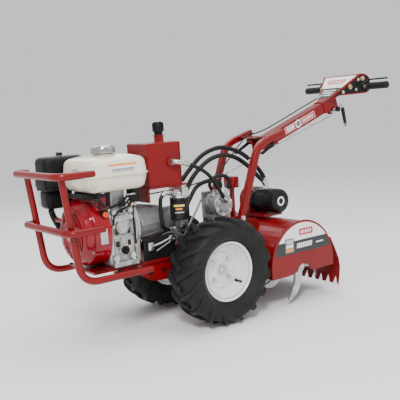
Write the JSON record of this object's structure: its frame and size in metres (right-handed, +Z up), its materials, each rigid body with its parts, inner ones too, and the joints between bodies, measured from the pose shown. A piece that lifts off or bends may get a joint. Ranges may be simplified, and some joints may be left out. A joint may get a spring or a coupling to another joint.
{
  "type": "rear-tine tiller",
  "caption": "Rear-tine tiller with engine at the front, hydraulic drive to lugged wheels and hooded tines, and a single-boom handle with twin grips.",
  "frame": {"origin": "middle of the bounding box, on the ground under the machine", "axes": "+Z up, +Y towards the operator and the handlebar, +X to the machine's left"},
  "size_m": [0.553, 1.6756, 0.958],
  "materials": {
    "red_paint": "gloss powder coat",
    "fan_red": "gloss paint",
    "ivory_paint": "gloss paint",
    "cast_aluminium": "as cast",
    "bright_steel": "bright zinc",
    "chrome_cap": "polished",
    "black_paint": "semi-gloss",
    "black_plastic": "fine grain",
    "hose_rubber": "satin",
    "grip_rubber": "ribbed",
    "tyre_rubber": "matte",
    "white_paint": "gloss paint"
  },
  "bodies": {
    "frame": {"chassis": "red_paint", "engine_deck": "red_paint", "guard_tube_left": "red_paint", "guard_tube_right": "red_paint", "guard_rail_upper": "red_paint", "guard_rail_lower": "red_paint", "reservoir": "red_paint", "chain_case": "red_paint", "hood_drum": "red_paint", "hood_side_left": "red_paint", "hood_side_right": "red_paint", "handle_upright_left": "red_paint", "handle_upright_right": "red_paint", "cross_plate": "red_paint", "boom": "red_paint", "console": "red_paint", "fan_cover": "fan_red", "recoil_housing": "fan_red", "fuel_tank": "ivory_paint", "engine_block": "cast_aluminium", "cylinder_head": "cast_aluminium", "crankcase_cover": "cast_aluminium", "bell_housing": "cast_aluminium", "hydraulic_pump": "cast_aluminium", "filter_head": "cast_aluminium", "wheel_motor": "cast_aluminium", "drive_chain": "bright_steel", "handlebar": "bright_steel", "muffler": "black_paint", "oil_filter": "black_paint", "tine_motor": "black_paint", "air_cleaner_cover": "black_plastic", "intake_body": "black_plastic", "return_hose": "hose_rubber", "suction_hose": "hose_rubber", "tine_hose_upper": "hose_rubber", "tine_hose_lower": "hose_rubber", "throttle_cable": "hose_rubber", "grip_left": "grip_rubber", "grip_right": "grip_rubber"},
    "crank": {"flywheel_fan": "cast_aluminium", "crankshaft": "bright_steel"},
    "wheels": {"axle_shaft": "bright_steel", "wheel_rim_left": "white_paint", "wheel_rim_right": "white_paint", "tyre_left": "tyre_rubber", "tyre_right": "tyre_rubber"},
    "drive_sprocket": {"motor_sprocket": "bright_steel"},
    "tine_rotor": {"tine_shaft": "bright_steel", "tine_set_left": "bright_steel", "tine_set_right": "bright_steel"},
    "flap": {"rear_flap": "red_paint"},
    "tank_cap": {"fuel_cap": "chrome_cap"},
    "filler_cap": {"breather_cap": "black_plastic"},
    "cleaner_knob": {"air_cleaner_knob": "black_plastic"},
    "switch_knob": {"engine_switch": "fan_red"},
    "starter_handle": {"starter_grip": "grip_rubber"},
    "bail": {"safety_bail": "bright_steel"},
    "lever": {"control_lever": "bright_steel"},
    "rod": {"control_rod": "bright_steel"}
  },
  "joints": [
    {"name": "crank_turn", "type": "hinge", "parent": "frame", "child": "crank", "pos_m": [0, -0.634, 0.414], "axis": [0, 1, 0], "continuous": true},
    {"name": "wheel_turn", "type": "hinge", "parent": "frame", "child": "wheels", "pos_m": [0, -0.184, 0.21], "axis": [1, 0, 0], "continuous": true},
    {"name": "drive_sprocket_turn", "type": "hinge", "parent": "frame", "child": "drive_sprocket", "pos_m": [0, -0.062, 0.44], "axis": [1, 0, 0], "continuous": true},
    {"name": "tine_turn", "type": "hinge", "parent": "frame", "child": "tine_rotor", "pos_m": [0, 0.214, 0.16], "axis": [1, 0, 0], "continuous": true},
    {"name": "flap_swing", "type": "hinge", "parent": "frame", "child": "flap", "pos_m": [0, 0.38777, 0.24603], "axis": [1, 0, 0], "range_deg": [0, 60]},
    {"name": "fuel_cap_turn", "type": "hinge", "parent": "frame", "child": "tank_cap", "pos_m": [0.0145, -0.559, 0.7], "axis": [0, 0, 1], "range_deg": [0, 90]},
    {"name": "filler_cap_turn", "type": "hinge", "parent": "frame", "child": "filler_cap", "pos_m": [0, -0.3, 0.75], "axis": [0, 0, 1], "range_deg": [0, 90]},
    {"name": "cleaner_knob_turn", "type": "hinge", "parent": "frame", "child": "cleaner_knob", "pos_m": [-0.174, -0.646, 0.7], "axis": [0, 0, 1], "range_deg": [0, 360]},
    {"name": "switch_turn", "type": "hinge", "parent": "frame", "child": "switch_knob", "pos_m": [0.11233, -0.625, 0.484], "axis": [1, 0, 0], "range_deg": [0, 60]},
    {"name": "starter_pull", "type": "slide", "parent": "frame", "child": "starter_handle", "axis": [-1, 0, 0], "range_m": [0, 0.06], "stiffness_N_per_m": 60, "springref_m": -0.05},
    {"name": "bail_squeeze", "type": "hinge", "parent": "frame", "child": "bail", "pos_m": [0, 0.781, 0.905], "axis": [1, 0, 0], "range_deg": [-7, 0], "stiffness_Nm_per_rad": 2, "springref_deg": 14.32},
    {"name": "lever_turn", "type": "hinge", "parent": "frame", "child": "lever", "pos_m": [0, 0.704, 0.786], "axis": [1, 0, 0], "range_deg": [-18, 4]},
    {"name": "rod_slide", "type": "slide", "parent": "frame", "child": "rod", "axis": [0, 0.9571, 0.2899], "range_m": [-0.006, 0.006]}
  ],
  "couplings": [
    {"joint": "drive_sprocket_turn", "follows": "wheel_turn", "ratio": 2.3333},
    {"joint": "rod_slide", "follows": "lever_turn", "m_per_rad": 0.01355}
  ]
}
